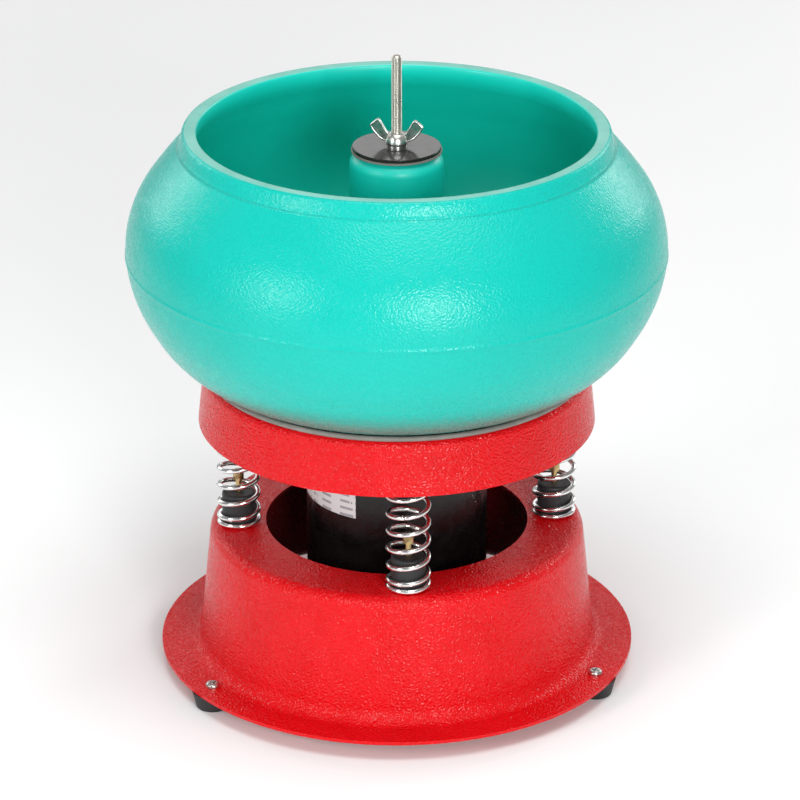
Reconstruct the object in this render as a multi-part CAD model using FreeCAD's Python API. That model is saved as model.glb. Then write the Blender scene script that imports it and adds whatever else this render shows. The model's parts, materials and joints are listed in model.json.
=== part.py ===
import FreeCAD, Part
import math
import os

# Vibratory rock tumbler: a bowl clamped on a sprung dish, with an unbalanced motor under it.
# Millimetres, +Z up. The origin is on the floor, under the centre of the base.
# Every height is measured from the floor. The front of the machine faces -Y.

V = FreeCAD.Vector
Z_AXIS = V(0, 0, 1)
ORIGIN = V(0, 0, 0)

# Pressed sheet
sheet = 2.0
deck_top = 86.2
deck_hole_radius = 76.3
flange_top = 12.2
flange_radius = 138.5
wall_foot_radius = 116.0
wall_top_radius = 108.3
shoulder_fillet = 6.5
cove_fillet = 8.0

# Dish that carries the bowl and the motor
dish_plate_top = 160.2
dish_skirt_radius = 114.3
dish_skirt_low = 151.7
dish_rim_radius = 110.9
dish_rim_top = 183.0
dish_rim_inner_radius = 104.4
dish_floor_radius = 99.5
gasket_radius = 1.5
gasket_ring_radius = 108.8
gasket_ring_height = 184.32

# Feet
foot_count = 3
foot_circle = 127.6
foot_height = flange_top - sheet
foot_top_radius = 12.0
foot_low_radius = 9.5
foot_recess_radius = 5.6
foot_recess_depth = 6.2
foot_screw_radius = 2.0

# Springs and their rubber seats
spring_circle = 92.0
spring_radius = 12.8
spring_wire = 1.5
spring_turns = 7
spring_gap = 0.05
seat_radius = 9.7
lower_seat_height = 19.8
upper_seat_height = 16.0
seat_screw_radius = 1.7
seat_screw_stand_off = 7.7
seat_screw_recess = 7.0
seat_head_radius = 3.1
seat_head_height = 5.4

# Bowl
bowl_wall = 7.5
rim_top = 326.2
rim_radius = 120.0
rim_width = 8.0
belly_height = 254.5
belly_radius = 153.7
bowl_foot_radius = 78.0
bowl_foot_wall = 7.6
bowl_floor_underside = 177.0
column_top = 312.9
column_low_radius = 27.7
column_top_radius = 26.6
column_shoulder = 6.0
column_wall = 4.6
stud_hole_radius = 3.6

# Clamp on top of the column
seal_thickness = 1.0
seal_radius = 25.6
plate_thickness = 2.0
plate_radius = 25.0
washer_thickness = 1.2
washer_radius = 6.0

# Threaded stud and wing nut, M6
stud_radius = 3.0
stud_top = 369.2
stud_low = 151.9
stud_running_gap = 0.05
nut_hub_low_radius = 6.2
nut_hub_top_radius = 4.6
nut_hub_height = 6.4
wing_thickness = 2.4
wing_turn = -14.0

# Motor
can_radius = 52.5
can_wall = 1.6
can_low = 70.2
can_top = 138.2
bell_depth = 12.0
bell_web = 3.0
bell_wall = 3.0
boss_radius = 19.0
through_bolt_circle = 46.5
through_bolt_radius = 2.0
core_half_height = 24.0
core_bore = 27.0
slot_count = 12
shaft_radius = 5.0
shaft_core_radius = 6.0
shaft_low = 22.0
bearing_outer = 15.0
bearing_width = 9.0
ball_radius = 2.38
ball_circle = 10.0
ball_count = 8
race_groove = 2.45
label_low = 107.2
label_high = 134.0
label_thickness = 0.2
label_start = -180.0
label_sweep = 59.5
fan_radius = 34.0
fan_low = 46.0
fan_high = 54.0
blade_count = 7
weight_radius = 40.0
weight_low = 26.0
weight_high = 42.0

# Grommet of the mains lead, in the rear wall
grommet_height = 36.0
grommet_hole_radius = 8.0
grommet_flange_radius = 11.0
grommet_bore = 4.0


# ---------------------------------------------------------------- helpers

def tube(outer, inner, low, high):
    """Upright ring between two radii and two heights."""
    body = Part.makeCylinder(outer, high - low, V(0, 0, low))
    return body.cut(Part.makeCylinder(inner, high - low + 2, V(0, 0, low - 1)))


def rod(radius, low, high):
    """Upright round bar."""
    return Part.makeCylinder(radius, high - low, V(0, 0, low))


def moved(shape, x, y, z=0.0):
    copy = shape.copy()
    copy.translate(V(x, y, z))
    return copy


def turned(shape, degrees):
    """Copy of a shape turned about the vertical axis of the machine."""
    copy = shape.copy()
    copy.rotate(ORIGIN, Z_AXIS, degrees)
    return copy


def around(shape, radius, count, start):
    """Copies of a shape, made at the axis, spread evenly on a circle."""
    placed = moved(shape, radius, 0)
    return [turned(placed, start + 360.0 * step / count) for step in range(count)]


def stood_around(shape, radius):
    """Four copies of a shape on a circle, all facing the same way: right, back, left and front."""
    return [moved(shape, radius * x, radius * y) for x, y in ((1, 0), (0, 1), (-1, 0), (0, -1))]


def cut_all(shape, tools):
    for tool in tools:
        shape = shape.cut(tool)
    return shape


def fuse_all(shapes):
    body = shapes[0]
    for other in shapes[1:]:
        body = body.fuse(other)
    return body.removeSplitter()


def hex_prism(across_flats, low, high):
    corner = across_flats / math.sqrt(3.0)
    points = [V(corner * math.cos(math.radians(60 * k)), corner * math.sin(math.radians(60 * k)), low)
              for k in range(7)]
    return Part.Face(Part.makePolygon(points)).extrude(V(0, 0, high - low))


def hex_nut(across_flats, bore, low, high):
    """Nut with its corners turned down to a cone on both ends."""
    height = high - low
    corner = across_flats / math.sqrt(3.0)
    turned_low = Part.makeCone(across_flats / 2.0, across_flats / 2.0 + height, height, V(0, 0, low))
    turned_high = Part.makeCone(across_flats / 2.0 + height, across_flats / 2.0, height, V(0, 0, low))
    body = hex_prism(across_flats, low, high).common(rod(corner, low, high))
    body = body.common(turned_low).common(turned_high)
    return body.cut(rod(bore, low - 1, high + 1))


def rounded_path(corners):
    """Edges of an open outline. Each corner is (radius, height, fillet)."""
    points = [V(r, 0, z) for r, z, fillet in corners]
    edges = []
    start = points[0]
    for index in range(1, len(points) - 1):
        corner = points[index]
        fillet = corners[index][2]
        back = (points[index - 1] - corner).normalize()
        ahead = (points[index + 1] - corner).normalize()
        half = back.getAngle(ahead) / 2.0
        if fillet <= 0 or half > math.pi / 2 - 1e-6:
            edges.append(Part.LineSegment(start, corner).toShape())
            start = corner
            continue
        reach = fillet / math.tan(half)
        bisector = (back + ahead).normalize()
        centre = corner + bisector * (fillet / math.sin(half))
        first = corner + back * reach
        last = corner + ahead * reach
        middle = centre - bisector * fillet
        if (first - start).Length > 1e-7:
            edges.append(Part.LineSegment(start, first).toShape())
        edges.append(Part.Arc(first, middle, last).toShape())
        start = last
    edges.append(Part.LineSegment(start, points[-1]).toShape())
    return edges


def parallel_corners(corners, distance):
    """The outline at a distance to the left of the direction of travel."""
    lines = []
    for (r0, z0, _), (r1, z1, _) in zip(corners[:-1], corners[1:]):
        length = math.hypot(r1 - r0, z1 - z0)
        along = ((r1 - r0) / length, (z1 - z0) / length)
        shift = (-along[1] * distance, along[0] * distance)
        lines.append((r0 + shift[0], z0 + shift[1], r1 + shift[0], z1 + shift[1], along))
    result = [(lines[0][0], lines[0][1], 0.0)]
    for before, after, corner in zip(lines[:-1], lines[1:], corners[1:-1]):
        turn = before[4][0] * after[4][1] - before[4][1] * after[4][0]
        gap = ((after[0] - before[0]) * after[4][1] - (after[1] - before[1]) * after[4][0]) / turn
        fillet = corner[2] - distance if turn > 0 else corner[2] + distance
        result.append((before[0] + before[4][0] * gap, before[1] + before[4][1] * gap, max(fillet, 0.0)))
    result.append((lines[-1][2], lines[-1][3], 0.0))
    return result


def revolved(edges):
    """Solid of revolution of a closed outline."""
    wire = Part.Wire(Part.__sortEdges__(edges))
    return Part.Face(wire).revolve(ORIGIN, Z_AXIS, 360)


def pressed_sheet(corners, thickness):
    """Round pressing: the outline given by its outer face, with the sheet on the left of it."""
    inner = parallel_corners(corners, thickness)
    ends = []
    for index in (0, -1):
        outer_end = V(corners[index][0], 0, corners[index][1])
        inner_end = V(inner[index][0], 0, inner[index][1])
        ends.append(Part.LineSegment(outer_end, inner_end).toShape())
    return revolved(rounded_path(corners) + rounded_path(inner) + ends)


def arc_chain(points):
    """Arcs through (end, middle, end, middle, end ...)."""
    nodes = [V(r, 0, z) for r, z in points]
    return [Part.Arc(nodes[k], nodes[k + 1], nodes[k + 2]).toShape() for k in range(0, len(nodes) - 2, 2)]


def inset_chain(points, distance):
    """The same chain of arcs moved towards the arcs' own centres."""
    nodes = [V(r, 0, z) for r, z in points]
    pulls = [V(0, 0, 0) for node in nodes]
    for k in range(0, len(nodes) - 2, 2):
        centre = Part.Arc(nodes[k], nodes[k + 1], nodes[k + 2]).toShape().Curve.Center
        for index in (k, k + 1, k + 2):
            pulls[index] = pulls[index] + (centre - nodes[index]).normalize()
    inset = [node + pull.normalize() * distance for node, pull in zip(nodes, pulls)]
    return [(node.x, node.z) for node in inset]


def cross_recess(size, low, high):
    """Cutter for a cross slot in a screw head."""
    width = size * 0.28
    first = Part.makeBox(size, width, high - low, V(-size / 2, -width / 2, low))
    second = Part.makeBox(width, size, high - low, V(-width / 2, -size / 2, low))
    return first.fuse(second)


def pan_screw(head_radius, head_height, shank_radius, seat, end):
    """Screw with its head on a face at the height seat and its point at the height end."""
    head = rod(head_radius, seat, seat + head_height)
    rim = [edge for edge in head.Edges if abs(edge.BoundBox.ZMin - seat - head_height) < 1e-6]
    head = head.makeFillet(head_height * 0.55, [edge for edge in rim if edge.Closed][:1])
    body = head.fuse(rod(shank_radius, end, seat))
    return body.cut(cross_recess(head_radius * 1.2, seat + head_height * 0.45, seat + head_height + 1))


# ---------------------------------------------------------------- base

def base_shell():
    """Red pressed base: flange, cove, conical wall, shoulder and deck."""
    corners = [
        (flange_radius, flange_top, 0),
        (wall_foot_radius, flange_top, cove_fillet),
        (wall_top_radius, deck_top, shoulder_fillet),
        (deck_hole_radius, deck_top, 0),
    ]
    shell = pressed_sheet(corners, sheet)
    foot_holes = around(rod(foot_screw_radius + 0.1, 0, 40), foot_circle, foot_count, 90)
    seat_holes = around(rod(seat_screw_radius + 0.1, 60, 120), spring_circle, 4, 0)
    cable_hole = Part.makeCylinder(grommet_hole_radius, 60, V(0, 80, grommet_height), V(0, 1, 0))
    return cut_all(shell, foot_holes + seat_holes + [cable_hole])


def cord_grommet(shell):
    """Rubber grommet snapped into the cable hole: a waist with a flange on each side of the wall."""
    wall_mid = wall_foot_radius - (grommet_height - flange_top) * (
        (wall_foot_radius - wall_top_radius) / (deck_top - flange_top)) - sheet / 2
    height = 10.0
    body = Part.makeCylinder(grommet_flange_radius, height, V(0, wall_mid - height / 2, grommet_height), V(0, 1, 0))
    ends = [edge for edge in body.Edges if edge.Closed and edge.Length > 10]
    body = body.makeFillet(1.5, ends)
    body = body.cut(Part.makeCylinder(grommet_bore, height + 2,
                                      V(0, wall_mid - height / 2 - 1, grommet_height), V(0, 1, 0)))
    return body.cut(shell)


def foot():
    """Tapered rubber foot with a recess for its nut."""
    body = Part.makeCone(foot_low_radius, foot_top_radius, foot_height)
    low_edges = [edge for edge in body.Edges if edge.Closed and edge.BoundBox.ZMax < 1e-6]
    body = body.makeFillet(1.0, low_edges)
    body = body.cut(rod(foot_recess_radius, -1, foot_recess_depth))
    return body.cut(rod(foot_screw_radius, -1, foot_height + 1))


def foot_screw():
    return pan_screw(4.0, 2.5, foot_screw_radius, flange_top, 2.0)


def foot_washer():
    return tube(4.5, foot_screw_radius, foot_recess_depth - 0.8, foot_recess_depth)


def foot_nut():
    return hex_nut(7.0, foot_screw_radius, foot_recess_depth - 4.0, foot_recess_depth - 0.8)


# ---------------------------------------------------------------- springs and seats

def seat(height):
    """Rubber plug that centres a spring end, standing on z = 0."""
    body = rod(seat_radius, 0, height)
    top_edges = [edge for edge in body.Edges if edge.Closed and edge.BoundBox.ZMin > height - 1e-6]
    body = body.makeFillet(1.5, top_edges)
    return body.cut(rod(seat_screw_radius, -1, height + 1))


def recessed_seat():
    """Shorter plug whose screw head lies in a counterbore."""
    low = upper_seat_height - seat_screw_recess
    return seat(upper_seat_height).cut(rod(seat_head_radius + 0.4, low, upper_seat_height + 1))


def seat_screw(head_low):
    """Cheese-head screw that runs through a plug standing on z = 0, and through the sheet under it."""
    stem = rod(seat_screw_radius, -sheet - 4.6, head_low)
    head = rod(seat_head_radius, head_low, head_low + seat_head_height)
    slot = Part.makeBox(10, 1.0, 2, V(-5, -0.5, head_low + seat_head_height - 1.2))
    return stem.fuse(head.cut(slot))


def seat_nut():
    """Washer and nut on the far side of the sheet, as two solids."""
    washer = tube(4.0, seat_screw_radius, -sheet - 0.8, -sheet)
    return Part.makeCompound([washer, hex_nut(6.0, seat_screw_radius, -sheet - 3.6, -sheet - 0.8)])


def lowered(shape):
    """Seat parts on the deck, pointing up."""
    return moved(shape, 0, 0, deck_top)


def hung(shape):
    """The same parts hanging from the underside of the dish."""
    copy = shape.mirror(ORIGIN, Z_AXIS)
    return moved(copy, 0, 0, dish_plate_top - sheet)


def spring():
    """Right-hand coil spring of round wire between the deck and the dish, swept one turn at a time."""
    low = deck_top + spring_wire + spring_gap
    height = dish_plate_top - sheet - spring_wire - spring_gap - low
    coil_radius = spring_radius - spring_wire
    pitch = height / spring_turns
    turn = Part.makeHelix(pitch, pitch, coil_radius)
    path = [moved(turn, 0, 0, pitch * step).Edges[0] for step in range(spring_turns)]
    climb = math.atan2(pitch, 2 * math.pi * coil_radius)
    section = Part.Circle(V(coil_radius, 0, 0), V(0, math.cos(climb), math.sin(climb)), spring_wire)
    coil = Part.Wire(path).makePipeShell([Part.Wire([section.toShape()])], True, True)
    return moved(coil, 0, 0, low)


# ---------------------------------------------------------------- dish and bowl

def dish():
    """Red pressed dish: skirt, rounded rim, inner wall and the plate that bowl and motor bolt to."""
    corners = [
        (dish_skirt_radius, dish_skirt_low, 0),
        (dish_rim_radius, dish_rim_top, 4.0),
        (dish_rim_inner_radius, dish_rim_top, 2.2),
        (dish_floor_radius, dish_plate_top, 3.0),
        (stud_radius + 0.1, dish_plate_top, 0),
    ]
    pressing = pressed_sheet(corners, sheet)
    seat_holes = around(rod(seat_screw_radius + 0.1, 140, 180), spring_circle, 4, 0)
    bolt_holes = around(rod(through_bolt_radius + 0.1, 140, 180), through_bolt_circle, 4, 45)
    return cut_all(pressing, seat_holes + bolt_holes)


def bowl_gasket():
    """Grey rubber ring between the rim of the dish and the bowl."""
    return Part.makeTorus(gasket_ring_radius, gasket_radius, V(0, 0, gasket_ring_height))


def bowl():
    """One moulding: rim, round belly, foot ring, toroidal floor and hollow centre column."""
    outer = [
        (rim_radius + 2.5, 317.2),
        (133.0, 305.0),
        (142.4, 292.6),
        (150.4, 275.8),
        (belly_radius, belly_height),
        (149.4, 234.2),
        (140.4, 215.5),
        (127.6, 199.0),
        (105.0, 185.0),
        (92.6, 181.2),
        (80.0, 178.9),
    ]
    inner = inset_chain(outer, bowl_wall)
    rim_inner = rim_radius - rim_width
    rim = rounded_path([
        (outer[0][0], outer[0][1], 0),
        (rim_radius, rim_top, 1.6),
        (rim_inner, rim_top, 1.6),
        (rim_inner + 1.0, 317.0, 8.0),
        (inner[0][0], inner[0][1], 0),
    ])
    floor = arc_chain([inner[-1], (57.0, 184.5), (38.0, 192.0)])
    blend = arc_chain([(38.0, 192.0), (31.8, 200.0), (column_low_radius, 214.0)])
    column_inner_top = column_top - column_wall
    underside = rounded_path([
        (column_low_radius, 214.0, 0),
        (column_top_radius, column_top, column_shoulder),
        (stud_hole_radius, column_top, 0),
        (stud_hole_radius, column_inner_top, 0),
        (column_top_radius - column_wall, column_inner_top, 3.0),
        (column_low_radius - column_wall, 209.0, 12.0),
        (31.0, 184.0, 8.0),
        (45.0, bowl_floor_underside, 5.0),
        (bowl_foot_radius - bowl_foot_wall - 0.8, bowl_floor_underside, 2.0),
        (bowl_foot_radius - bowl_foot_wall, dish_plate_top, 0),
        (bowl_foot_radius, dish_plate_top, 0),
        (outer[-1][0], outer[-1][1], 0),
    ])
    return revolved(arc_chain(outer) + rim + arc_chain(inner) + floor + blend + underside)


# ---------------------------------------------------------------- clamp

def column_seal():
    return tube(seal_radius, stud_radius + 0.3, column_top, column_top + seal_thickness)


def clamp_plate():
    low = column_top + seal_thickness
    body = tube(plate_radius, stud_radius + 0.1, low, low + plate_thickness)
    edges = [edge for edge in body.Edges if edge.Closed and edge.Length > 100]
    return body.makeFillet(0.4, edges)


def nut_washer():
    low = column_top + seal_thickness + plate_thickness
    return tube(washer_radius, stud_radius + stud_running_gap, low, low + washer_thickness)


def wing_nut():
    """Wing nut: a conical hub and two flat blades that lean outwards."""
    low = column_top + seal_thickness + plate_thickness + washer_thickness
    hub = Part.makeCone(nut_hub_low_radius, nut_hub_top_radius, nut_hub_height)
    outline = [(3.2, 0.8), (7.4, 1.6), (10.6, 3.8), (15.0, 9.4), (14.6, 10.6), (10.9, 13.8), (9.9, 13.6),
               (5.8, 6.8), (3.2, 5.4), (3.2, 0.8)]
    blade = Part.Face(Part.makePolygon([V(x, 0, z) for x, z in outline])).extrude(V(0, wing_thickness, 0))
    wing = moved(blade, 0, -wing_thickness / 2)
    body = fuse_all([hub, wing, turned(wing, 180)])
    body = body.cut(rod(stud_radius + stud_running_gap, -1, nut_hub_height + 8))
    return moved(turned(body, wing_turn), 0, 0, low)


def threaded_stud():
    body = rod(stud_radius, stud_low, stud_top)
    ends = [edge for edge in body.Edges if edge.Closed]
    return body.makeChamfer(0.6, ends)


def stud_lock_nuts():
    plate_low = dish_plate_top - sheet
    above = hex_nut(10.0, stud_radius, dish_plate_top, dish_plate_top + 5.0)
    below = hex_nut(10.0, stud_radius, plate_low - 5.0, plate_low)
    return Part.makeCompound([above, below])


# ---------------------------------------------------------------- motor, fixed pieces

def motor_can():
    return tube(can_radius, can_radius - can_wall, can_low, can_top)


def end_bell(hole_radius):
    """Cast end bell, standing on z = 0 with its open side up: web, wall and bearing boss."""
    wall = tube(can_radius, can_radius - bell_wall, 0, bell_depth)
    outer_edge = [edge for edge in wall.Edges
                  if edge.Closed and edge.BoundBox.ZMax < 1e-6 and edge.Length > 2 * math.pi * 51]
    wall = wall.makeFillet(2.0, outer_edge)
    web = rod(can_radius - bell_wall, 0, bell_web)
    boss = rod(boss_radius, 0, bell_depth)
    pillars = around(rod(4.5, 0, bell_depth), through_bolt_circle, 4, 45)
    body = fuse_all([wall, web, boss] + pillars)
    vents = around(rod(4.5, -1, bell_web + 1), 33.0, 10, 0)
    bolts = around(rod(through_bolt_radius + 0.1, -1, bell_depth + 1), through_bolt_circle, 4, 45)
    pocket = rod(bearing_outer, bell_depth - 10.0, bell_depth + 1)
    return cut_all(body, vents + bolts + [pocket, rod(hole_radius, -1, bell_depth)])


def motor_bottom_bell():
    return moved(end_bell(shaft_radius + 1.2), 0, 0, can_low - bell_depth)


def motor_top_bell():
    inverted = end_bell(shaft_radius + 1.2).mirror(ORIGIN, Z_AXIS)
    return moved(inverted, 0, 0, can_top + bell_depth)


def slot_shape(clearance, low, high):
    """One winding slot of the core, open to the bore."""
    width = 8.0 - 2 * clearance
    mouth = Part.makeBox(8, 2.5, high - low, V(24, -1.25, low))
    body = Part.makeBox(11.0 - 2 * clearance, width, high - low, V(31.0 + clearance, -width / 2, low))
    return (mouth, body)


def stator_core():
    middle = (can_low + can_top) / 2
    low = middle - core_half_height
    high = middle + core_half_height
    body = tube(can_radius - can_wall, core_bore, low, high)
    cutters = []
    for step in range(slot_count):
        for piece in slot_shape(0.0, low - 1, high + 1):
            cutters.append(turned(piece, 360.0 * step / slot_count))
    cutters += around(rod(through_bolt_radius + 0.3, low - 1, high + 1), through_bolt_circle, 4, 45)
    return cut_all(body, cutters)


def stator_windings():
    """Copper coils: a bar in each slot, joined by an end turn above and below the core."""
    middle = (can_low + can_top) / 2
    reach = core_half_height + 6.5
    rings = [tube(41.5, 31.5, middle + core_half_height + 0.3, middle + reach),
             tube(41.5, 31.5, middle - reach, middle - core_half_height - 0.3)]
    bar = slot_shape(0.5, middle - reach, middle + reach)[1]
    bars = [turned(bar, 360.0 * step / slot_count) for step in range(slot_count)]
    return fuse_all(rings + bars)


def bearing_outer_set(low):
    """Outer race and balls of a bearing."""
    race = tube(bearing_outer, ball_circle + 1.9, low, low + bearing_width)
    groove = Part.makeTorus(ball_circle, race_groove, V(0, 0, low + bearing_width / 2))
    ball = Part.makeSphere(ball_radius, V(0, 0, low + bearing_width / 2))
    return Part.makeCompound([race.cut(groove)] + around(ball, ball_circle, ball_count, 0))


def bearing_inner_race(low):
    race = tube(ball_circle - 1.9, shaft_radius, low, low + bearing_width)
    return race.cut(Part.makeTorus(ball_circle, race_groove, V(0, 0, low + bearing_width / 2)))


def motor_spacer():
    return tube(5.0, through_bolt_radius + 0.1, can_top + bell_depth, dish_plate_top - sheet)


def motor_through_bolt():
    """Long screw from under the motor, through core and spacer, to above the dish."""
    face = can_low - bell_depth
    head = rod(3.6, face - 2.6, face)
    body = head.fuse(rod(through_bolt_radius, face, dish_plate_top + 5.0))
    return body.cut(cross_recess(4.2, face - 3.6, face - 1.4))


def motor_through_nut():
    return hex_nut(7.0, through_bolt_radius, dish_plate_top, dish_plate_top + 3.2)


def motor_label():
    """Thin label stuck round the front left of the can."""
    corners = [V(can_radius, 0, label_low), V(can_radius + label_thickness, 0, label_low),
               V(can_radius + label_thickness, 0, label_high), V(can_radius, 0, label_high),
               V(can_radius, 0, label_low)]
    patch = Part.Face(Part.makePolygon(corners)).revolve(ORIGIN, Z_AXIS, label_sweep)
    return turned(patch, label_start)


# ---------------------------------------------------------------- motor, turning pieces

def motor_shaft():
    lower_race_top = can_low - bell_depth + 2.0 + bearing_width
    upper_race_low = can_top + bell_depth - 2.0 - bearing_width
    lower = rod(shaft_radius, shaft_low, lower_race_top)
    middle = rod(shaft_core_radius, lower_race_top, upper_race_low)
    upper = rod(shaft_radius, upper_race_low, upper_race_low + bearing_width - 0.3)
    return fuse_all([lower, middle, upper])


def rotor_core():
    middle = (can_low + can_top) / 2
    return tube(core_bore - 0.5, shaft_core_radius, middle - core_half_height - 1, middle + core_half_height + 1)


def rotor_end_rings():
    middle = (can_low + can_top) / 2
    near = core_half_height + 1
    far = core_half_height + 5
    return Part.makeCompound([tube(24.0, 17.0, middle + near, middle + far),
                              tube(24.0, 17.0, middle - far, middle - near)])


def cooling_fan():
    """Radial fan: hub, back plate and straight blades."""
    hub = rod(10.0, fan_low, fan_high)
    plate = rod(fan_radius, fan_high - 1.2, fan_high)
    blade = Part.makeBox(fan_radius - 9.0, 1.6, fan_high - fan_low - 0.5, V(8.5, -0.8, fan_low))
    blades = [turned(blade, 360.0 * step / blade_count) for step in range(blade_count)]
    return fuse_all([hub, plate] + blades).cut(rod(shaft_radius, fan_low - 1, fan_high + 1))


def eccentric_weight():
    """Half disc of steel on a round hub."""
    disc = rod(weight_radius, weight_low, weight_high)
    away = Part.makeBox(100, 60, 40, V(-50, -4.0, weight_low - 10))
    hub = rod(11.0, weight_low, weight_high)
    body = fuse_all([disc.cut(away), hub])
    middle = (weight_low + weight_high) / 2
    screw_hole = Part.makeCylinder(2.5, 20, V(0, 0, middle), V(0, 1, 0))
    return body.cut(rod(shaft_radius, weight_low - 1, weight_high + 1)).cut(screw_hole)


def weight_set_screw():
    middle = (weight_low + weight_high) / 2
    screw = Part.makeCylinder(2.5, 7.0, V(0, shaft_radius + 0.2, middle), V(0, 1, 0))
    socket = hex_prism(2.5, 0, 3).rotate(ORIGIN, V(1, 0, 0), -90)
    socket = moved(socket, 0, shaft_radius + 0.2 + 4.5, middle)
    return screw.cut(socket)


# ---------------------------------------------------------------- assembly

def build():
    """Every piece by the name of its node."""
    shell = base_shell()
    nodes = {"base_shell": shell, "cord_grommet": cord_grommet(shell)}
    feet = around(foot(), foot_circle, foot_count, 90)
    for name, piece in zip(("rear", "front_left", "front_right"), feet):
        nodes["foot_" + name] = piece
    for name, piece in (("foot_screws", foot_screw()), ("foot_washers", foot_washer()),
                        ("foot_nuts", foot_nut())):
        nodes[name] = Part.makeCompound(around(piece, foot_circle, foot_count, 90))

    sides = ("right", "back", "left", "front")
    for prefix, piece in (("lower_seat_", lowered(seat(lower_seat_height))), ("upper_seat_", hung(recessed_seat())),
                          ("spring_", spring())):
        for side, placed in zip(sides, stood_around(piece, spring_circle)):
            nodes[prefix + side] = placed
    proud_screw = seat_screw(lower_seat_height + seat_screw_stand_off)
    sunk_screw = seat_screw(upper_seat_height - seat_screw_recess)
    for name, piece in (("lower_seat_screws", lowered(proud_screw)), ("lower_seat_nuts", lowered(seat_nut())),
                        ("upper_seat_screws", hung(sunk_screw)), ("upper_seat_nuts", hung(seat_nut()))):
        nodes[name] = Part.makeCompound(around(piece, spring_circle, 4, 0))

    nodes["dish"] = dish()
    nodes["bowl_gasket"] = bowl_gasket()
    nodes["bowl"] = bowl()
    nodes["column_seal"] = column_seal()
    nodes["clamp_plate"] = clamp_plate()
    nodes["nut_washer"] = nut_washer()
    nodes["wing_nut"] = wing_nut()
    nodes["threaded_stud"] = threaded_stud()
    nodes["stud_lock_nuts"] = stud_lock_nuts()

    nodes["motor_can"] = motor_can()
    nodes["motor_top_bell"] = motor_top_bell()
    nodes["motor_bottom_bell"] = motor_bottom_bell()
    nodes["stator_core"] = stator_core()
    nodes["stator_windings"] = stator_windings()
    nodes["motor_label"] = motor_label()
    for name, piece in (("motor_spacers", motor_spacer()), ("motor_through_bolts", motor_through_bolt()),
                        ("motor_through_nuts", motor_through_nut())):
        nodes[name] = Part.makeCompound(around(piece, through_bolt_circle, 4, 45))
    lower_bearing = can_low - bell_depth + 2.0
    upper_bearing = can_top + bell_depth - 2.0 - bearing_width
    nodes["lower_bearing_outer"] = bearing_outer_set(lower_bearing)
    nodes["upper_bearing_outer"] = bearing_outer_set(upper_bearing)
    nodes["lower_bearing_inner"] = bearing_inner_race(lower_bearing)
    nodes["upper_bearing_inner"] = bearing_inner_race(upper_bearing)
    nodes["motor_shaft"] = motor_shaft()
    nodes["rotor_core"] = rotor_core()
    nodes["rotor_end_rings"] = rotor_end_rings()
    nodes["cooling_fan"] = cooling_fan()
    nodes["eccentric_weight"] = eccentric_weight()
    nodes["weight_set_screw"] = weight_set_screw()
    return nodes


os.makedirs("parts", exist_ok=True)
for node_name, node_shape in build().items():
    node_shape.exportStep("parts/" + node_name + ".step")
    print(node_name, node_shape.isValid(), len(node_shape.Solids), round(node_shape.Volume, 1))
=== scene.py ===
import json
import math

import bmesh
import bpy
from mathutils import Matrix, Vector


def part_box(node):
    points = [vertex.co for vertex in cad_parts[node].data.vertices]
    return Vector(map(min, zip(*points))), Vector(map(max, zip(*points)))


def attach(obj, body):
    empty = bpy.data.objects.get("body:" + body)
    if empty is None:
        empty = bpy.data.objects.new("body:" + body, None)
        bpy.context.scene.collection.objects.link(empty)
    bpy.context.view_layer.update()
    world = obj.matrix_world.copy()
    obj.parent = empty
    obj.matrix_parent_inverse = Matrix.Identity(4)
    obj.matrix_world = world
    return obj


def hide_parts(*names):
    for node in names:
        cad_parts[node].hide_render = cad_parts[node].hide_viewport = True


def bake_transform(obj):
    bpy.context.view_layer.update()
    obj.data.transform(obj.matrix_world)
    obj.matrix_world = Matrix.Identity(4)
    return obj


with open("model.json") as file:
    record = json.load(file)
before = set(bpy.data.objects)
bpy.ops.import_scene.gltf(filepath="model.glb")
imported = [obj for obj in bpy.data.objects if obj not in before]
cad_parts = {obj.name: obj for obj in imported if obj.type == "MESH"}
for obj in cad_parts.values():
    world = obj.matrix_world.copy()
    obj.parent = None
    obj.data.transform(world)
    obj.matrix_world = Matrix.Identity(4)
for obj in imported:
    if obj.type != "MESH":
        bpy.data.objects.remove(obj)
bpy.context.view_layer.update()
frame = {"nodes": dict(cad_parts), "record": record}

MM = 0.001
FACE_GAP = 0.05  # millimetres between the resting faces of two pieces
TAU = 2 * math.pi


# ---------------------------------------------------------------- camera, light and floor

def make_camera():
    """The camera stands 2 m away, a little left of the front, and looks 23 degrees down."""
    heading, aim = math.radians(-4.0), math.radians(-0.053)
    down = math.radians(23.46)
    distance, height = 2.011, 1.0332
    data = bpy.data.cameras.new("camera")
    data.sensor_width = 36.0
    data.lens = 171.2
    camera = bpy.data.objects.new("camera", data)
    camera.location = (distance * math.sin(heading), -distance * math.cos(heading), height)
    camera.rotation_euler = (math.pi / 2 - down, 0, heading + aim)
    bpy.context.scene.collection.objects.link(camera)
    bpy.context.scene.camera = camera


def make_area(name, place, size, power):
    """Soft white panel that looks at the middle of the object."""
    data = bpy.data.lights.new(name, "AREA")
    data.shape = "RECTANGLE"
    data.size, data.size_y = size
    data.energy = power
    lamp = bpy.data.objects.new(name, data)
    lamp.location = place
    direction = Vector((0, 0, 0.2)) - Vector(place)
    lamp.rotation_mode = "QUATERNION"
    lamp.rotation_quaternion = direction.to_track_quat("-Z", "Y")
    bpy.context.scene.collection.objects.link(lamp)


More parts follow.
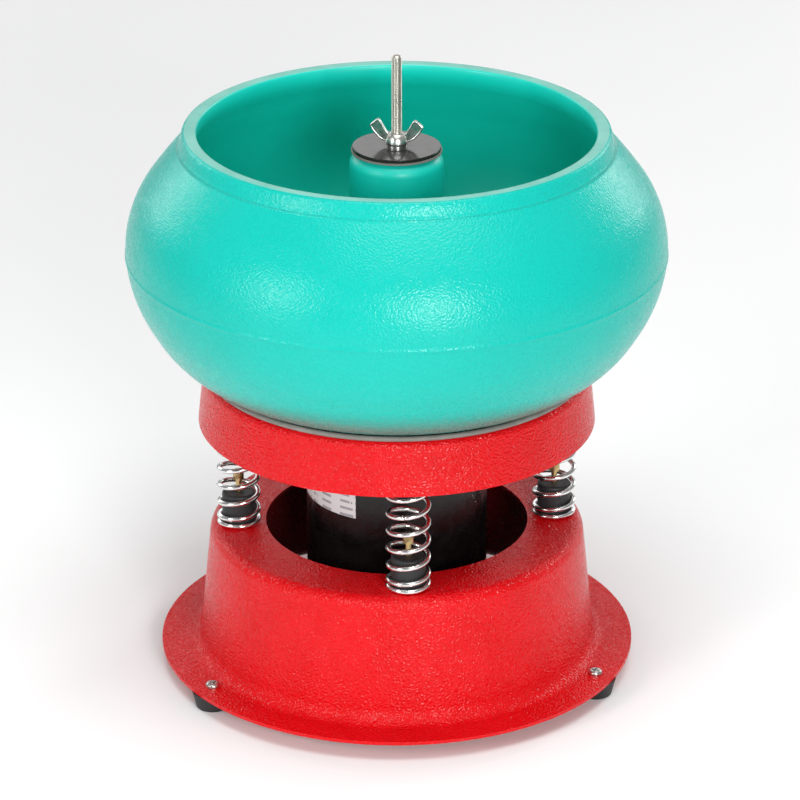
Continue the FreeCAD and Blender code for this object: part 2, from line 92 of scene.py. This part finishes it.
def make_lights():
    """A dim white room with a front key, a left fill, a top panel and three panels behind."""
    world = bpy.data.worlds.new("studio")
    bpy.context.scene.world = world
    world.use_nodes = True
    background = world.node_tree.nodes["Background"]
    background.inputs["Color"].default_value = (1.0, 1.0, 1.0, 1)
    background.inputs["Strength"].default_value = 0.30
    make_area("key_front", (0.35, -1.95, 0.78), (0.6, 0.5), 24)
    make_area("side_left", (-1.5, -1.1, 0.8), (0.5, 0.8), 12)
    make_area("top", (0.1, -0.4, 1.8), (1.2, 1.0), 17)
    make_area("back", (0.0, 2.2, 1.0), (2.4, 0.8), 8)
    make_area("rear_right", (1.5, 1.3, 0.8), (0.6, 0.8), 8)
    make_area("rear_left", (-1.4, 1.4, 0.8), (0.6, 0.8), 6)


def make_floor():
    """Round pale floor."""
    reach, corners = 12, 96
    turns = [TAU * k / corners for k in range(corners)]
    mesh = bpy.data.meshes.new("floor")
    ring = [(reach * math.cos(turn), reach * math.sin(turn), 0) for turn in turns]
    mesh.from_pydata(ring, [], [list(range(corners))])
    floor = bpy.data.objects.new("floor", mesh)
    bpy.context.scene.collection.objects.link(floor)
    mesh.materials.append(floor_material())


# ---------------------------------------------------------------- materials

class Nodes:
    """A material's node tree, with short calls for the nodes that the materials share.

    The colour and roughness it starts with are plain averages, for viewers that show no nodes.
    """

    # Sockets of the Mix node that carry colours: both inputs share one name, so they go by number.
    COLOUR_A, COLOUR_B, COLOUR_OUT = 6, 7, 2

    def __init__(self, name, colour, roughness, metallic=0.0):
        self.material = bpy.data.materials.new(name)
        self.material.use_nodes = True
        self.tree = self.material.node_tree
        self.shader = self.tree.nodes["Principled BSDF"]
        self.set("Base Color", (*colour, 1))
        self.set("Roughness", roughness)
        self.set("Metallic", metallic)
        self.place = self.add("ShaderNodeTexCoord").outputs["Object"]

    def add(self, kind, **values):
        node = self.tree.nodes.new(kind)
        for key, value in values.items():
            setattr(node, key, value)
        return node

    def link(self, source, target):
        self.tree.links.new(source, target)

    def set(self, socket, value):
        self.shader.inputs[socket].default_value = value

    def to(self, socket, source):
        self.link(source, self.shader.inputs[socket])

    def noise(self, scale, detail=3.0, roughness=0.5, stretch=None):
        node = self.add("ShaderNodeTexNoise")
        node.inputs["Scale"].default_value = scale
        node.inputs["Detail"].default_value = detail
        node.inputs["Roughness"].default_value = roughness
        self.link(self.stretched(stretch), node.inputs["Vector"])
        return node.outputs["Fac"]

    def stretched(self, factors):
        if factors is None:
            return self.place
        node = self.add("ShaderNodeMapping")
        node.inputs["Scale"].default_value = factors
        self.link(self.place, node.inputs["Vector"])
        return node.outputs["Vector"]

    def cells(self, scale):
        node = self.add("ShaderNodeTexVoronoi", feature="SMOOTH_F1")
        node.inputs["Scale"].default_value = scale
        node.inputs["Smoothness"].default_value = 0.6
        self.link(self.place, node.inputs["Vector"])
        return node.outputs["Distance"]

    def ramp(self, source, stops):
        """Colour ramp through (position, colour) stops; a number stands for a grey."""
        node = self.add("ShaderNodeValToRGB")
        elements = node.color_ramp.elements
        while len(elements) > len(stops):
            elements.remove(elements[-1])
        while len(elements) < len(stops):
            elements.new(1.0)
        for element, (position, colour) in zip(elements, stops):
            element.position = position
            element.color = (colour,) * 3 + (1,) if isinstance(colour, float) else (*colour, 1)
        self.link(source, node.inputs["Fac"])
        return node.outputs["Color"]

    def math(self, operation, first, second):
        node = self.add("ShaderNodeMath", operation=operation)
        for socket, value in zip(node.inputs, (first, second)):
            if isinstance(value, (int, float)):
                socket.default_value = value
            else:
                self.link(value, socket)
        return node.outputs[0]

    def shade_below(self, colour, low, high, tint):
        """The colour turns into the tint from the height high down to the height low, in metres."""
        split = self.add("ShaderNodeSeparateXYZ")
        self.link(self.place, split.inputs["Vector"])
        span = self.add("ShaderNodeMapRange", interpolation_type="SMOOTHSTEP")
        self.link(split.outputs["Z"], span.inputs["Value"])
        span.inputs["From Min"].default_value = low
        span.inputs["From Max"].default_value = high
        span.inputs["To Min"].default_value = 1.0
        span.inputs["To Max"].default_value = 0.0
        return self.mixed(span.outputs["Result"], colour, tint)

    def mixed(self, factor, colour, tint):
        """The colour, turned into the fixed tint where the factor is one."""
        mix = self.add("ShaderNodeMix", data_type="RGBA")
        self.link(factor, mix.inputs["Factor"])
        self.link(colour, mix.inputs[self.COLOUR_A])
        mix.inputs[self.COLOUR_B].default_value = (*tint, 1)
        return mix.outputs[self.COLOUR_OUT]

    def facing_axis(self):
        """One on faces that look towards the upright axis, zero on those that look away from it."""
        flat = self.add("ShaderNodeVectorMath", operation="MULTIPLY")
        self.link(self.place, flat.inputs[0])
        flat.inputs[1].default_value = (1.0, 1.0, 0.0)
        across = self.add("ShaderNodeVectorMath", operation="DOT_PRODUCT")
        self.link(flat.outputs["Vector"], across.inputs[0])
        self.link(self.add("ShaderNodeTexCoord").outputs["Normal"], across.inputs[1])
        return self.math("LESS_THAN", across.outputs["Value"], -0.01)

    def bump(self, height, strength, distance, before=None):
        node = self.add("ShaderNodeBump")
        node.inputs["Strength"].default_value = strength
        node.inputs["Distance"].default_value = distance
        self.link(height, node.inputs["Height"])
        if before is not None:
            self.link(before, node.inputs["Normal"])
        return node.outputs["Normal"]


def floor_material():
    m = Nodes("floor", (0.93, 0.93, 0.93), 0.8)
    m.to("Base Color", m.ramp(m.noise(3.0), [(0.3, (0.925, 0.925, 0.93)), (0.7, (0.94, 0.94, 0.94))]))
    return m.material


def red_powder_coat():
    """Red polyester powder coat: orange peel of about a millimetre, with painted shade that darkens the faces
    inside the shell.
    """
    m = Nodes("red_powder_coat", (0.66, 0.003, 0.006), 0.22)
    tone = m.ramp(m.noise(45.0, 4.0), [(0.3, (0.63, 0.002, 0.004)), (0.7, (0.69, 0.004, 0.008))])
    # Painted shade: faces that look towards the upright axis, inside the shell, turn almost black.
    m.to("Base Color", m.mixed(m.facing_axis(), tone, (0.10, 0.002, 0.003)))
    m.to("Roughness", m.ramp(m.noise(260.0, 2.0), [(0.3, 0.16), (0.7, 0.28)]))
    coarse = m.bump(m.noise(800.0, 0.0), 0.7, 0.0010)
    m.to("Normal", m.bump(m.cells(700.0), 0.35, 0.0006, coarse))
    m.set("Specular IOR Level", 0.24)
    return m.material


def bowl_plastic():
    """Turquoise polyurethane: fine pebbled skin, with painted shade and a painted reflection of the red dish
    that grey it near the foot.
    """
    m = Nodes("bowl_plastic", (0.004, 0.46, 0.385), 0.30)
    tone = m.ramp(m.noise(9.0, 3.0), [(0.3, (0.003, 0.440, 0.370)), (0.7, (0.005, 0.480, 0.405))])
    # Painted shade and painted reflection: the colour turns grey-green from 214 mm down to 184 mm.
    m.to("Base Color", m.shade_below(tone, 0.184, 0.214, (0.04, 0.20, 0.17)))
    m.to("Roughness", m.ramp(m.noise(120.0, 2.0), [(0.3, 0.23), (0.7, 0.32)]))
    m.to("Normal", m.bump(m.noise(850.0, 0.0), 0.4, 0.0007))
    m.set("Specular IOR Level", 0.27)
    return m.material


def bowl_inside_plastic():
    """The same polyurethane inside the bowl, smoother, with painted light: its colour is lighter than the
    outer skin's.
    """
    m = Nodes("bowl_inside_plastic", (0.004, 0.58, 0.48), 0.38)
    # Painted light: a lighter copy of the outer skin's colour for the same plastic.
    tone = m.ramp(m.noise(9.0, 3.0), [(0.3, (0.003, 0.555, 0.455)), (0.7, (0.005, 0.605, 0.500))])
    m.to("Base Color", tone)
    m.to("Roughness", m.ramp(m.noise(80.0, 2.0), [(0.3, 0.33), (0.7, 0.43)]))
    m.to("Normal", m.bump(m.noise(180.0, 2.0), 0.08, 0.0006))
    return m.material


def rim_plastic():
    """The flat top of the rim, greyer and duller than the moulded skin."""
    m = Nodes("rim_plastic", (0.17, 0.50, 0.43), 0.5)
    m.to("Base Color", m.ramp(m.noise(60.0, 4.0), [(0.3, (0.14, 0.46, 0.39)), (0.7, (0.20, 0.55, 0.47))]))
    m.to("Roughness", m.ramp(m.noise(140.0, 3.0), [(0.3, 0.44), (0.7, 0.56)]))
    m.to("Normal", m.bump(m.noise(500.0, 3.0), 0.2, 0.0003))
    return m.material


def rubber(name, colour, roughness):
    """Dull rubber with a fine grain."""
    m = Nodes(name, colour, roughness)
    lighter = tuple(min(1.0, c * 1.35 + 0.004) for c in colour)
    m.to("Base Color", m.ramp(m.noise(90.0, 4.0), [(0.3, colour), (0.75, lighter)]))
    m.to("Roughness", m.ramp(m.noise(220.0), [(0.3, roughness - 0.06), (0.7, roughness + 0.08)]))
    m.to("Normal", m.bump(m.noise(900.0, 3.0), 0.25, 0.0004))
    return m.material


def plated(name, colour, roughness):
    """Bright plated metal with faint handling marks."""
    m = Nodes(name, colour, roughness, 1.0)
    darker = tuple(c * 0.82 for c in colour)
    m.to("Base Color", m.ramp(m.noise(240.0, 4.0), [(0.35, darker), (0.65, colour)]))
    m.to("Roughness", m.ramp(m.noise(420.0, 3.0, 0.6), [(0.3, roughness * 0.75), (0.7, roughness * 1.35)]))
    m.to("Normal", m.bump(m.noise(900.0, 2.0), 0.06, 0.0003))
    return m.material


def thread_nickel():
    """Warm nickel plate on the rolled thread, smooth, with slow changes of tone along the rod."""
    m = Nodes("thread_nickel", (0.66, 0.62, 0.55), 0.30, 1.0)
    m.to("Base Color", m.ramp(m.noise(60.0, 2.0), [(0.35, (0.60, 0.56, 0.49)), (0.65, (0.70, 0.66, 0.59))]))
    m.to("Roughness", m.ramp(m.noise(90.0, 2.0), [(0.3, 0.26), (0.7, 0.36)]))
    return m.material


def gloss_black(name, colour, roughness):
    """Dark lacquer or plastic with a gloss that varies slowly."""
    m = Nodes(name, colour, roughness)
    m.set("Specular IOR Level", 0.35)
    lighter = tuple(c * 1.6 + 0.003 for c in colour)
    m.to("Base Color", m.ramp(m.noise(70.0, 3.0), [(0.3, colour), (0.8, lighter)]))
    m.to("Roughness", m.ramp(m.noise(160.0, 4.0), [(0.35, roughness), (0.75, roughness + 0.12)]))
    m.to("Normal", m.bump(m.noise(420.0, 2.0), 0.05, 0.0004))
    return m.material


def label_film():
    """Pale printed film with plain grey bars in place of print."""
    m = Nodes("label_film", (0.62, 0.61, 0.61), 0.35)
    bars = m.add("ShaderNodeTexWave", wave_type="BANDS", bands_direction="Z", wave_profile="SAW")
    bars.inputs["Scale"].default_value = 75.0
    bars.inputs["Distortion"].default_value = 0.0
    m.link(m.place, bars.inputs["Vector"])
    blocks = m.noise(420.0, 1.0, 0.5, (1.0, 1.0, 0.05))
    in_row = m.math("GREATER_THAN", bars.outputs["Fac"], 0.62)
    in_block = m.math("GREATER_THAN", blocks, 0.48)
    ink = m.math("MULTIPLY", in_row, in_block)
    m.to("Base Color", m.ramp(ink, [(0.0, (0.62, 0.61, 0.61)), (1.0, (0.28, 0.28, 0.30))]))
    m.to("Roughness", m.ramp(m.noise(200.0), [(0.3, 0.30), (0.7, 0.42)]))
    return m.material


def paint(node, material):
    """Gives a carried-over CAD node its material."""
    mesh = frame["nodes"][node].data
    mesh.materials.clear()
    mesh.materials.append(material)


# ---------------------------------------------------------------- mesh helpers

def new_piece(name, mesh, body, slot, *materials):
    for material in materials:
        mesh.materials.append(material)
    piece = bpy.data.objects.new(name, mesh)
    bpy.context.scene.collection.objects.link(piece)
    if body is not None:
        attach(piece, body)
    return piece


def mesh_from(name, vertices, faces):
    """Smooth-shaded mesh."""
    mesh = bpy.data.meshes.new(name)
    mesh.from_pydata(vertices, [], faces)
    mesh.validate()
    mesh.polygons.foreach_set("use_smooth", [True] * len(mesh.polygons))
    return mesh


def lathe(name, outline, segments):
    """Closed mesh turned from a closed outline of (radius, height, material) in millimetres."""
    vertices, faces, kinds = [], [], []
    for step in range(segments):
        angle = TAU * step / segments
        for radius, height, _ in outline:
            vertices.append((radius * MM * math.cos(angle), radius * MM * math.sin(angle), height * MM))
    count = len(outline)
    for step in range(segments):
        near, far = step * count, (step + 1) % segments * count
        for k in range(count):
            after = (k + 1) % count
            faces.append((near + k, far + k, far + after, near + after))
            kinds.append(outline[k][2])
    mesh = mesh_from(name, vertices, faces)
    mesh.polygons.foreach_set("material_index", kinds)
    return mesh


def circle_through(start, middle, end):
    """Centre, radius, first angle and signed sweep of the arc through three points."""
    (ax, ay), (bx, by), (cx, cy) = start, middle, end
    d = 2 * (ax * (by - cy) + bx * (cy - ay) + cx * (ay - by))
    ux = ((ax**2 + ay**2) * (by - cy) + (bx**2 + by**2) * (cy - ay) + (cx**2 + cy**2) * (ay - by)) / d
    uy = ((ax**2 + ay**2) * (cx - bx) + (bx**2 + by**2) * (ax - cx) + (cx**2 + cy**2) * (bx - ax)) / d
    first = math.atan2(ay - uy, ax - ux)
    sweep = (math.atan2(cy - uy, cx - ux) - first) % TAU
    if (math.atan2(by - uy, bx - ux) - first) % TAU > sweep:
        sweep -= TAU
    return (ux, uy), math.hypot(ax - ux, ay - uy), first, sweep


def arc_points(start, middle, end, steps):
    """Points on the circle through three points, without the last."""
    (ux, uy), radius, first, sweep = circle_through(start, middle, end)
    angles = [first + sweep * k / steps for k in range(steps)]
    return [(ux + radius * math.cos(angle), uy + radius * math.sin(angle)) for angle in angles]


def tube_along(centres, radius, sides):
    """Vertices and faces of a capped round tube along points, its rings square to the path."""
    vertices, faces = [], []
    up = Vector((0, 0, 1))
    for k, centre in enumerate(centres):
        ahead = (centres[min(k + 1, len(centres) - 1)] - centres[max(k - 1, 0)]).normalized()
        side = ahead.cross(up).normalized()
        over = side.cross(ahead)
        for step in range(sides):
            angle = TAU * step / sides
            vertices.append(centre + (side * math.cos(angle) + over * math.sin(angle)) * radius)
    for k in range(len(centres) - 1):
        for step in range(sides):
            after = (step + 1) % sides
            near, far = k * sides, (k + 1) * sides
            faces.append((near + step, near + after, far + after, far + step))
    faces.append(tuple(reversed(range(sides))))
    faces.append(tuple((len(centres) - 1) * sides + step for step in range(sides)))
    return vertices, faces


def arc_chain(points, steps):
    line = []
    for k in range(0, len(points) - 2, 2):
        line += arc_points(*points[k:k + 3], steps)
    return line + [points[-1]]


def inset_chain(points, distance):
    """The same chain of arcs moved towards the arcs' own centres."""
    pulls = [Vector((0, 0)) for _ in points]
    for k in range(0, len(points) - 2, 2):
        centre, _, _, _ = circle_through(*points[k:k + 3])
        for index in (k, k + 1, k + 2):
            pulls[index] += (Vector(centre) - Vector(points[index])).normalized()
    return [tuple(Vector(point) + pull.normalized() * distance) for point, pull in zip(points, pulls)]


def close_mesh(mesh, merge):
    """Welds close vertices, fills what is open and turns the faces outwards."""
    work = bmesh.new()
    work.from_mesh(mesh)
    bmesh.ops.remove_doubles(work, verts=work.verts, dist=merge)
    bmesh.ops.dissolve_degenerate(work, edges=work.edges, dist=merge / 4)
    bmesh.ops.holes_fill(work, edges=work.edges, sides=0)
    bmesh.ops.recalc_face_normals(work, faces=work.faces)
    for face in work.faces:
        face.smooth = True
    work.to_mesh(mesh)
    work.free()


def cut_corners(outline, times):
    """Rounds a closed outline by cutting a quarter off both ends of every edge."""
    for _ in range(times):
        after = outline[1:] + outline[:1]
        outline = [near.lerp(far, share) for near, far in zip(outline, after) for share in (0.25, 0.75)]
    return outline


def shrink(outline, distance):
    """The closed outline, drawn anticlockwise, moved inwards along its corners' bisectors."""
    moved = []
    for before, here, after in zip(outline[-1:] + outline[:-1], outline, outline[1:] + outline[:1]):
        along = ((here - before).normalized() + (after - here).normalized()).normalized()
        moved.append(here + Vector((-along.y, along.x)) * distance)
    return moved


def add_rings(work, rings, closed):
    """Faces between rings of points; an open stack gets a cap at each end."""
    rows = [[work.verts.new(point) for point in ring] for ring in rings]
    pairs = list(zip(rows, rows[1:] + rows[:1])) if closed else list(zip(rows, rows[1:]))
    for near, far in pairs:
        for k in range(len(near)):
            after = (k + 1) % len(near)
            work.faces.new((near[k], far[k], far[after], near[after]))
    if not closed:
        work.faces.new(rows[0])
        work.faces.new(list(reversed(rows[-1])))


# ---------------------------------------------------------------- pieces

def make_springs(material):
    """Each spring is three lengths of one coil."""
    wire, coil = 1.5 * MM, 11.3 * MM
    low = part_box("spring_front")[0].z + wire
    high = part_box("spring_front")[1].z - wire
    steps_per_turn, end_turns, end_pitch = 48, 1.8, 0.8 * MM

    def climb(turn, total, pitch):
        edge = min(turn, total - turn)
        return pitch if edge > end_turns else end_pitch + (pitch - end_pitch) * edge / end_turns

    pitch = 10.5 * MM
    closed = end_turns * (end_pitch + pitch)
    total = 2 * end_turns + (high - low - closed) / pitch
    heights, turns, height, turn = [], [], low, 0.0
    while turn < total:
        heights.append(height)
        turns.append(turn)
        step = 1.0 / steps_per_turn
        height += climb(turn + step / 2, total, pitch) * step
        turn += step
    stretch = (high - low) / (heights[-1] - low)
    heights = [low + (h - low) * stretch for h in heights]
    cuts = [low, low + (high - low) / 3, low + (high - low) * 2 / 3, high]
    chain = (("lower", "base", "front_back_springs"), ("middle", "front_back_springs", "side_springs"),
             ("upper", "side_springs", "dish"))
    for side in ("front", "back", "left", "right"):
        lo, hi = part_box("spring_" + side)
        centre = Vector(((lo.x + hi.x) / 2, (lo.y + hi.y) / 2, 0))
        line = [centre + Vector((coil * math.cos(math.pi + TAU * t), coil * math.sin(math.pi + TAU * t), h))
                for t, h in zip(turns, heights)]
        marks = [min(range(len(heights)), key=lambda k: abs(heights[k] - cut)) for cut in cuts]
        for (part, below, above), first, last, start, end in zip(chain, marks, marks[1:], cuts, cuts[1:]):
            vertices, faces = tube_along(line[first:last + 1], wire, 20)
            name = f"spring_{side}_{part}"
            piece = new_piece(name, mesh_from(name, vertices, faces), None, "spring_steel", material)
            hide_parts("spring_" + side)
            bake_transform(piece)


def make_bowl(outside, inside, rim):
    """The bowl as one turned moulding, with the parting ridge and the line under the rim."""
    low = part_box("bowl")[0].z / MM + FACE_GAP
    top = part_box("bowl")[1].z / MM
    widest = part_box("bowl")[1].x / MM
    wall, ridge, parting = 7.5, 0.35, 254.5
    skin = [(122.5, 317.2), (133.0, 305.0), (142.4, 292.6), (150.4, 275.8), (widest - ridge, parting),
            (149.4, 234.2), (140.4, 215.5), (127.6, 199.0), (105.0, 185.0), (92.6, 181.2), (80.0, 178.9)]
    lining = inset_chain(skin, wall)
    outer = [point for point in reversed(arc_chain(skin, 18)) if abs(point[1] - parting) > 1.4]
    seam = sum(1 for point in outer if point[1] < parting)
    outer[seam:seam] = [(widest - ridge, parting - 1.1), (widest, parting - 0.5), (widest, parting + 0.5),
                        (widest - ridge, parting + 1.1)]
    collar = [(122.75, 317.4), (122.3, 317.9), (121.6, 320.5), (120.3, top - 1.4), (119.6, top - 0.4)]
    flat = [(118.8, top), (113.4, top)]
    lip = [(112.5, top - 0.4), (112.0, top - 1.4), (112.3, 320.0), (113.4, 316.6)]
    floor = arc_chain([lining[-1], (57.0, 184.5), (38.0, 192.0), (31.8, 200.0), (27.7, 214.0)], 14)
    column = [(27.4, 240.0), (27.0, 280.0), (26.7, 300.0)]
    shoulder = arc_chain([(26.65, 304.9), (24.3, 310.55), (18.65, 312.9)], 12)
    hollow = [(3.6, 312.9), (3.6, 308.3), (19.5, 308.3), (22.0, 305.0), (23.1, 209.0), (24.8, 196.0),
              (31.0, 184.0), (45.0, 177.0), (69.2, 177.0), (70.4, low)]
    outline = [(78.0, low, 0)] + [(r, z, 0) for r, z in outer + collar]
    outline += [(r, z, 1) for r, z in flat]
    outline += [(r, z, 2) for r, z in lip + arc_chain(lining, 18) + floor + column + shoulder + hollow]
    piece = new_piece("bowl_moulding", lathe("bowl_moulding", outline, 256), "bowl", "green_plastic",
                      outside, rim, inside)
    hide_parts("bowl")


def make_stud(material):
    """M6 rod with its real thread, domed at the top."""
    low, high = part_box("threaded_stud")[0].z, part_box("threaded_stud")[1].z
    pitch, crest, root, around = 1.0 * MM, 3.0 * MM, 2.6 * MM, 32
    shape = [(0.0, root), (0.3, crest), (0.5, crest), (0.8, root)]
    turns = int((high - low) / pitch) + 1
    vertices, faces = [], []
    rows = [(turn - 1 + share, radius) for turn in range(turns + 1) for share, radius in shape]
    for along, radius in rows:
        for step in range(around):
            angle = TAU * step / around
            z = low + pitch * (along + step / around)
            dome = min(1.0, max(0.0, (high - z) / (2.6 * MM)))
            limit = crest * (0.2 + 0.8 * math.sqrt(1 - (1 - dome) ** 2))
            foot = min(1.0, max(0.0, (z - low) / (0.8 * MM)))
            limit = min(limit, root + (crest - root) * foot)
            reach = min(radius, limit)
            vertices.append((reach * math.cos(angle), reach * math.sin(angle), min(max(z, low), high)))
    per_turn = len(shape)
    for row in range(len(rows) - 1):
        for step in range(around):
            shift = per_turn if step == around - 1 else 0
            after = (step + 1) % around
            if row + 1 + shift < len(rows):
                faces.append((row * around + step, (row + shift) * around + after,
                              (row + 1 + shift) * around + after, (row + 1) * around + step))
    mesh = mesh_from("stud_thread", vertices, faces)
    close_mesh(mesh, 0.02 * MM)
    piece = new_piece("stud_thread", mesh, "dish", "bright_steel", material)
    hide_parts("threaded_stud")


def make_wing_nut(material):
    """Pressed wing nut: domed hub and two paddles with raised rims."""
    base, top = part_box("wing_nut")[0].z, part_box("wing_nut")[1].z
    turn, height = math.radians(-14), (top - base) / MM
    work = bmesh.new()
    hub = [(3.1, FACE_GAP), (5.7, FACE_GAP), (6.15, 0.4), (6.2, 1.2), (6.05, 2.4), (5.7, 3.6), (5.2, 4.7),
           (4.5, 5.7), (3.8, 6.3), (3.1, 6.4)]
    add_rings(work, [[(r * MM * math.cos(TAU * k / 48), r * MM * math.sin(TAU * k / 48), base + z * MM)
                      for r, z in hub] for k in range(48)], True)
    paddle = [(3.4, 0.8), (7.4, 1.4), (10.9, 3.6), (15.3, 9.4), (14.9, 11.0), (11.0, height + 0.5),
              (9.4, height + 0.2), (5.6, 6.8), (3.4, 5.6)]
    edge = cut_corners([Vector(point) for point in paddle], 3)
    half = [(0.0, 0.8), (0.25, 1.15), (0.7, 1.2), (1.0, 0.95)]
    skins = [(inset, -offset) for inset, offset in reversed(half)] + half
    for side in (0.0, math.pi):
        spin = Matrix.Rotation(turn + side, 3, "Z")
        layers = [[spin @ Vector((p.x * MM, offset * MM, base + p.y * MM)) for p in shrink(edge, inset)]
                  for inset, offset in skins]
        add_rings(work, layers, False)
    bmesh.ops.recalc_face_normals(work, faces=work.faces)
    for face in work.faces:
        face.smooth = len(face.verts) == 4
    mesh = bpy.data.meshes.new("wing_nut_forging")
    work.to_mesh(mesh)
    work.free()
    piece = new_piece("wing_nut_forging", mesh, "wing_nut", "bright_steel", material)
    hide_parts("wing_nut")


# ---------------------------------------------------------------- build

make_camera()
make_lights()
make_floor()
bpy.context.scene.view_settings.view_transform = "Standard"

red = red_powder_coat()
black_rubber = rubber("black_rubber", (0.012, 0.012, 0.013), 0.55)
grey_rubber = rubber("grey_rubber", (0.17, 0.155, 0.14), 0.6)
chrome = plated("chrome_wire", (0.88, 0.88, 0.87), 0.18)
steel = plated("zinc_steel", (0.60, 0.60, 0.58), 0.28)
yellow_zinc = plated("yellow_zinc", (0.62, 0.46, 0.22), 0.30)
plate_black = gloss_black("plate_black", (0.014, 0.013, 0.012), 0.10)
polished = plated("polished_steel", (0.66, 0.66, 0.63), 0.30)
motor_black = gloss_black("motor_black", (0.003, 0.002, 0.002), 0.22)
fan_black = gloss_black("fan_black", (0.015, 0.015, 0.015), 0.45)
laminations = plated("laminations", (0.28, 0.28, 0.29), 0.4)
copper = plated("enamelled_copper", (0.52, 0.20, 0.07), 0.25)
aluminium = plated("cast_aluminium", (0.72, 0.72, 0.72), 0.4)
cast_iron = plated("oiled_iron", (0.16, 0.16, 0.16), 0.5)
label = label_film()

by_slot = {"red_paint": red, "black_rubber": black_rubber, "grey_rubber": grey_rubber, "spring_steel": chrome,
           "bright_steel": steel, "yellow_zinc": yellow_zinc, "black_plate": plate_black,
           "motor_black": motor_black, "label_film": label, "lamination_steel": laminations,
           "winding_copper": copper, "rotor_aluminium": aluminium, "bearing_steel": chrome,
           "fan_plastic": fan_black, "weight_iron": cast_iron}
for row in frame["record"]["subparts"]:
    if row["material_slot"] in by_slot:
        paint(row["node"], by_slot[row["material_slot"]])

make_springs(chrome)
make_bowl(bowl_plastic(), bowl_inside_plastic(), rim_plastic())
make_stud(thread_nickel())
make_wing_nut(polished)
